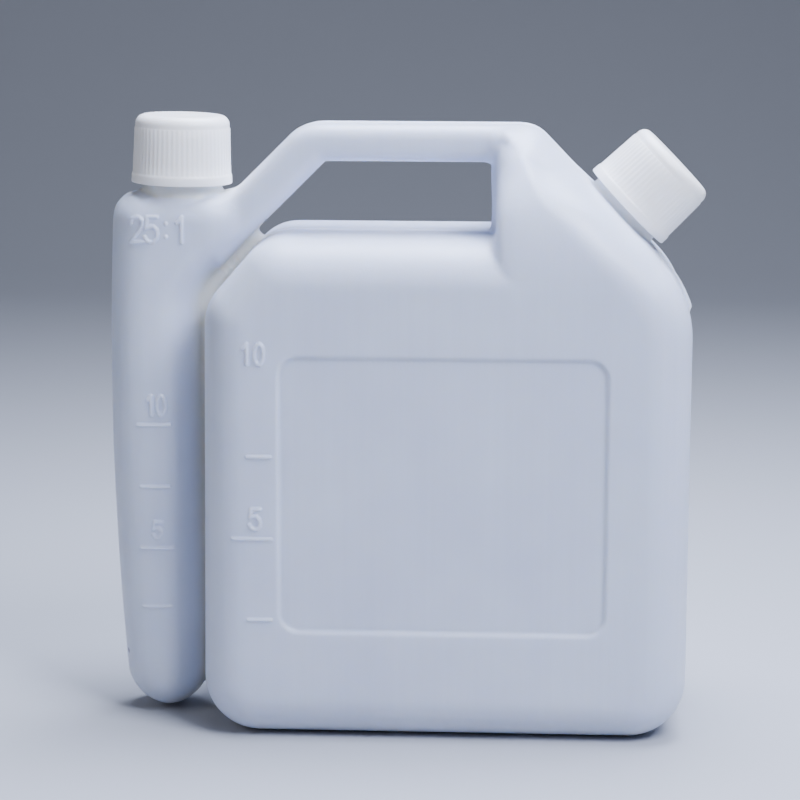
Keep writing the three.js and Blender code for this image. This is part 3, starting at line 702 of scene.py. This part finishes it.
# orange peel of the blasted mould, 0.7 mm between bumps
peel = add_node(tree, "ShaderNodeTexNoise",
                inputs={"Scale": spacing(0.7143), "Detail": 2.0, "Roughness": 0.6},
                links={"Vector": at})
body_tone = add_node(tree, "ShaderNodeValToRGB", links={"Fac": clouds.outputs["Fac"]})
body_tone.color_ramp.elements[0].position = 0.3
body_tone.color_ramp.elements[0].color = hex_colour("#D0D6EB")
body_tone.color_ramp.elements[1].position = 0.7
body_tone.color_ramp.elements[1].color = hex_colour("#DAE0F4")
streak_tone = add_node(tree, "ShaderNodeMix", settings={"data_type": "RGBA", "blend_type": "MULTIPLY"},
                       inputs={0: 0.06}, links={6: body_tone.outputs[0], 7: streaks.outputs["Fac"]})
# warm pale tone on necks, web and the walls beside the web: partly the warmer look of thick plastic, partly
# a painted glow that lightens the shaded crevice between tube and tank
solid_and_lit_tone = add_node(tree, "ShaderNodeMix", settings={"data_type": "RGBA"},
                      inputs={7: hex_colour("#EAE8E2")},
                      links={0: add_node(tree, "ShaderNodeAttribute",
                                         settings={"attribute_name": "pinched_and_lit"}).outputs["Fac"],
                             6: streak_tone.outputs[2]})
# one small purple ink spot near the foot of the measuring tube
spot_at = add_node(tree, "ShaderNodeVectorMath", settings={"operation": "DISTANCE"},
                   inputs={1: (-0.0847, -0.0065, 0.0188)}, links={0: at})
spot_edge = add_node(tree, "ShaderNodeMapRange", inputs={"From Min": 0.0013, "From Max": 0.0007},
                     links={"Value": spot_at.outputs["Value"]})
spotted = add_node(tree, "ShaderNodeMix", settings={"data_type": "RGBA"},
                   inputs={7: hex_colour("#4B3A6E")},
                   links={0: spot_edge.outputs[0], 6: solid_and_lit_tone.outputs[2]})
gloss = add_node(tree, "ShaderNodeMapRange", inputs={"To Min": 0.34, "To Max": 0.46},
                 links={"Value": clouds.outputs["Fac"]})
relief = add_node(tree, "ShaderNodeMath", settings={"operation": "MULTIPLY_ADD"},
                  inputs={1: 0.5}, links={0: streaks.outputs["Fac"], 2: peel.outputs["Fac"]})
bump = add_node(tree, "ShaderNodeBump", inputs={"Strength": 0.16, "Distance": 0.00012},
                links={"Height": relief.outputs[0]})
milky_shader = add_node(tree, "ShaderNodeBsdfPrincipled",
                        inputs={"IOR": 1.54, "Subsurface Weight": 1.0,
                                "Subsurface Radius": (1.0, 0.85, 0.7), "Subsurface Scale": 0.004},
                        links={"Base Color": spotted.outputs[2], "Roughness": gloss.outputs[0],
                               "Normal": bump.outputs[0]})
tree.links.new(milky_shader.outputs[0], out.inputs[0])


def finish_faces(piece, material, crease):
    """One material, smooth faces and creases sharper than that angle in degrees."""
    piece.data.materials.clear()
    piece.data.materials.append(material)
    for face in piece.data.polygons:
        face.use_smooth = True
        face.material_index = 0
    piece.data.set_sharp_from_angle(angle=math.radians(crease))


finish_faces(bottle, milky, 50)
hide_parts("bottle_body", "filler_neck", "oil_neck")
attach(bottle, "bottle")


# Screw caps: two equal ones, injection moulded from white polypropylene, with sixty fine grip ribs
# round the side, a plain flared band at the skirt edge, a plain rounded top with the faint gate mark
# in its middle, and a single screw ridge inside. They are screwed down on the necks.

# sizes in millimetres, heights measured from the edge of the skirt
CAP_RIBS = 60
RIB_DEPTH = 0.15
# height of the closed cap over the foot of its neck
CAP_LIFT = 2.75
# radius over the ribs at the skirt, and how much the side narrows for each millimetre of height
CAP_RADIUS = 14.98
CAP_TAPER = 0.033
CAP_BORE = 13.35
CAP_RIDGE_START = 6.4
# points of neighbouring slices closer than this become one
WELD = 0.004


def arc(centre, radius, start, end, steps):
    """Points (r, z) on an arc, angles in degrees from the outward direction."""
    turns = [math.radians(start + (end - start) * k / steps) for k in range(steps + 1)]
    return [(centre[0] + radius * math.cos(t), centre[1] + radius * math.sin(t)) for t in turns]


def sector(name, profile, count, columns):
    """One of count equal slices of a round body, from its outline, which runs from axis to axis."""
    step = math.tau / count / columns
    points, shares, rows = [], [], []
    for r, z, share in profile:
        if r == 0:
            rows.append([len(points)] * (columns + 1))
            points.append((0, 0, z))
            shares.append(0.0)
            continue
        rows.append(list(range(len(points), len(points) + columns + 1)))
        for k in range(columns + 1):
            points.append((r * math.cos(k * step), r * math.sin(k * step), z))
            shares.append(share * (0.5 - 0.5 * math.cos(math.tau * k / columns)))
    faces = []
    for upper, lower in zip(rows, rows[1:]):
        for k in range(columns):
            ring = [upper[k], lower[k], lower[k + 1], upper[k + 1]]
            faces.append(list(dict.fromkeys(ring)))
    made = place_mesh(name, points, faces)
    made.data.attributes.new("rib", "FLOAT", "POINT").data.foreach_set("value", shares)
    return made


round_tree, given, made = node_tree("round_of_slices", [
    ("Slices", "Int"), ("Rib depth", "Float"), ("Weld", "Float"), ("Material", "Material")])
flat = add_node(round_tree, "ShaderNodeVectorMath", settings={"operation": "MULTIPLY"},
                inputs={1: (1.0, 1.0, 0.0)},
                links={0: add_node(round_tree, "GeometryNodeInputPosition").outputs[0]})
outward = add_node(round_tree, "ShaderNodeVectorMath", settings={"operation": "NORMALIZE"},
                   links={0: flat.outputs[0]})
rib = add_node(round_tree, "GeometryNodeInputNamedAttribute", settings={"data_type": "FLOAT"},
               inputs={"Name": "rib"})
depth = add_node(round_tree, "ShaderNodeMath", settings={"operation": "MULTIPLY"},
                 links={0: rib.outputs["Attribute"], 1: given.outputs["Rib depth"]})
push = add_node(round_tree, "ShaderNodeVectorMath", settings={"operation": "SCALE"},
                links={0: outward.outputs[0], "Scale": depth.outputs[0]})
ribbed = add_node(round_tree, "GeometryNodeSetPosition",
                  links={"Geometry": given.outputs["Geometry"], "Offset": push.outputs[0]})
slots = add_node(round_tree, "GeometryNodePoints", links={"Count": given.outputs["Slices"]})
share = add_node(round_tree, "ShaderNodeMath", settings={"operation": "DIVIDE"},
                 links={0: add_node(round_tree, "GeometryNodeInputIndex").outputs[0],
                        1: given.outputs["Slices"]})
angle = add_node(round_tree, "ShaderNodeMath", settings={"operation": "MULTIPLY"},
                 inputs={1: math.tau}, links={0: share.outputs[0]})
turn = add_node(round_tree, "ShaderNodeCombineXYZ", links={"Z": angle.outputs[0]})
ring = add_node(round_tree, "GeometryNodeInstanceOnPoints",
                links={"Points": slots.outputs[0], "Instance": ribbed.outputs[0],
                       "Rotation": turn.outputs[0]})
real = add_node(round_tree, "GeometryNodeRealizeInstances", links={"Geometry": ring.outputs[0]})
welded = add_node(round_tree, "GeometryNodeMergeByDistance",
                  links={"Geometry": real.outputs[0], "Distance": given.outputs["Weld"]})
dressed = add_node(round_tree, "GeometryNodeSetMaterial",
                   links={"Geometry": welded.outputs[0], "Material": given.outputs["Material"]})
round_tree.links.new(dressed.outputs[0], made.inputs[0])

# White polypropylene, moulded in a polished mould: brighter and a little warmer than the bottle,
# with clear soft highlights, and almost opaque, so that light enters only a millimetre.
white, tree, out = new_material("white_polypropylene")
at = add_node(tree, "ShaderNodeTexCoord").outputs["Object"]
# flow of the melt from the gate, patches of 15 mm
flow = add_node(tree, "ShaderNodeTexNoise",
                inputs={"Scale": spacing(15.38), "Detail": 2.0, "Roughness": 0.5},
                links={"Vector": at})
white_tone = add_node(tree, "ShaderNodeValToRGB", links={"Fac": flow.outputs["Fac"]})
white_tone.color_ramp.elements[0].position = 0.3
white_tone.color_ramp.elements[0].color = hex_colour("#FAF6F1")
white_tone.color_ramp.elements[1].position = 0.7
white_tone.color_ramp.elements[1].color = hex_colour("#FDFAF6")
# handling marks 0.5 mm apart dull the polish here and there
rub = add_node(tree, "ShaderNodeTexNoise",
               inputs={"Scale": spacing(0.5), "Detail": 2.0, "Roughness": 0.6},
               links={"Vector": at})
polish = add_node(tree, "ShaderNodeMapRange", inputs={"To Min": 0.30, "To Max": 0.42},
                  links={"Value": flow.outputs["Fac"]})
bump = add_node(tree, "ShaderNodeBump", inputs={"Strength": 0.10, "Distance": 0.00005},
                links={"Height": rub.outputs["Fac"]})
white_shader = add_node(tree, "ShaderNodeBsdfPrincipled",
                        inputs={"IOR": 1.49, "Subsurface Weight": 0.5,
                                "Subsurface Radius": (1.0, 0.9, 0.8), "Subsurface Scale": 0.001},
                        links={"Base Color": white_tone.outputs[0], "Roughness": polish.outputs[0],
                               "Normal": bump.outputs[0]})
tree.links.new(white_shader.outputs[0], out.inputs[0])

# outline of half a cap, from the middle of the top down its side and up the inside: r, z, rib share
valley = CAP_RADIUS - RIB_DEPTH
cap_profile = [(0, 20.30, 0), (0.5, 20.30, 0), (0.8, 20.40, 0), (1.6, 20.40, 0), (2.0, 20.30, 0),
               (6.0, 20.36, 0), (10.4, 20.40, 0)]
cap_profile += [(r, z, 0) for r, z in arc((11.4, 17.6), 2.8, 90, 0, 8)]
cap_profile += [(14.2, 16.95, 0), (14.24, 16.75, 0), (valley - CAP_TAPER * 16.4, 16.4, 1)]
cap_profile += [(valley - CAP_TAPER * z, z, 1) for z in (13.0, 9.8, 6.4, 3.2)]
cap_profile += [(CAP_RADIUS, 2.85, 0), (15.12, 2.55, 0), (15.17, 2.2, 0), (15.25, 0.35, 0), (15.18, 0.08, 0),
                (15.05, 0, 0), (14.05, 0, 0), (13.95, 0.06, 0), (CAP_BORE, 0.7, 0)]
cap_profile += [(CAP_BORE, z, 0) for z in (5.0, 9.8, 14.5)]
cap_profile += [(13.0, 15.2, 0), (13.0, 18.5, 0), (12.7, 18.8, 0), (6.0, 18.8, 0), (0, 18.8, 0)]

for name, foot, lean in (("filler_cap", FILLER_FOOT, SLANT), ("oil_cap", OIL_FOOT, OIL_LEAN)):
    shell = grown(sector("cap_slice", cap_profile, CAP_RIBS, 4), round_tree,
                  {"Slices": CAP_RIBS, "Rib depth": RIB_DEPTH, "Weld": WELD, "Material": white}, "shell")
    inner = grown(place_mesh("ridge_host", [], []), ridge_tree,
                  dict(THREAD, **{"Wall radius": CAP_BORE, "Facing": math.pi / 2, "Seat": -THREAD_SEAT}),
                  "ridge")
    inner.data.transform(Matrix.Translation((0, 0, CAP_RIDGE_START)))
    cap = joined(shell, [inner], "UNION", name)
    cap.data.transform(Matrix.Scale(0.001, 4) @ neck_frame(foot, lean, CAP_LIFT))
    finish_faces(cap, white, 40)
    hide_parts(name)
    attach(cap, name)


# Cap liners: a disc of white expanded polyethylene, punched from sheet and pressed under the roof of
# each cap, where it seals on the rim of the neck. The rim has left a shallow ring in it.

# Closed cell polyethylene foam with its skin on: dull white, cells of 0.4 mm showing as dimples.
foam, tree, out = new_material("polyethylene_foam")
at = add_node(tree, "ShaderNodeTexCoord").outputs["Object"]
cells = add_node(tree, "ShaderNodeTexVoronoi", inputs={"Scale": spacing(0.4)}, links={"Vector": at})
foam_tone = add_node(tree, "ShaderNodeValToRGB", links={"Fac": cells.outputs["Distance"]})
foam_tone.color_ramp.elements[0].color = hex_colour("#E4E4DE")
foam_tone.color_ramp.elements[1].color = hex_colour("#F3F3EF")
dimple = add_node(tree, "ShaderNodeBump", inputs={"Strength": 0.3, "Distance": 0.0001},
                  links={"Height": cells.outputs["Distance"]})
foam_shader = add_node(tree, "ShaderNodeBsdfPrincipled",
                       inputs={"IOR": 1.5, "Roughness": 0.8, "Subsurface Weight": 0.4,
                               "Subsurface Radius": (1.0, 1.0, 0.95), "Subsurface Scale": 0.001},
                       links={"Base Color": foam_tone.outputs[0], "Normal": dimple.outputs[0]})
tree.links.new(foam_shader.outputs[0], out.inputs[0])

LINER_SLICES = 60
# outline of half a disc, with the ring that the rim of the neck pressed into its underside
liner_profile = [(0, 18.5, 0), (6.0, 18.5, 0), (12.4, 18.5, 0), (12.55, 18.42, 0), (12.6, 18.25, 0),
                 (12.6, 17.7, 0), (12.52, 17.55, 0), (12.35, 17.5, 0), (12.2, 17.56, 0), (11.8, 17.62, 0),
                 (11.0, 17.62, 0), (10.6, 17.56, 0), (10.3, 17.5, 0), (5.0, 17.5, 0), (0, 17.5, 0)]
for name, body, foot, lean in (("filler_cap_liner", "filler_liner", FILLER_FOOT, SLANT),
                               ("oil_cap_liner", "oil_liner", OIL_FOOT, OIL_LEAN)):
    liner = grown(sector("liner_slice", liner_profile, LINER_SLICES, 1), round_tree,
                  {"Slices": LINER_SLICES, "Rib depth": 0.0, "Weld": WELD, "Material": foam}, name)
    liner.data.transform(Matrix.Scale(0.001, 4) @ neck_frame(foot, lean, CAP_LIFT))
    finish_faces(liner, foam, 40)
    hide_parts(name)
    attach(liner, body)
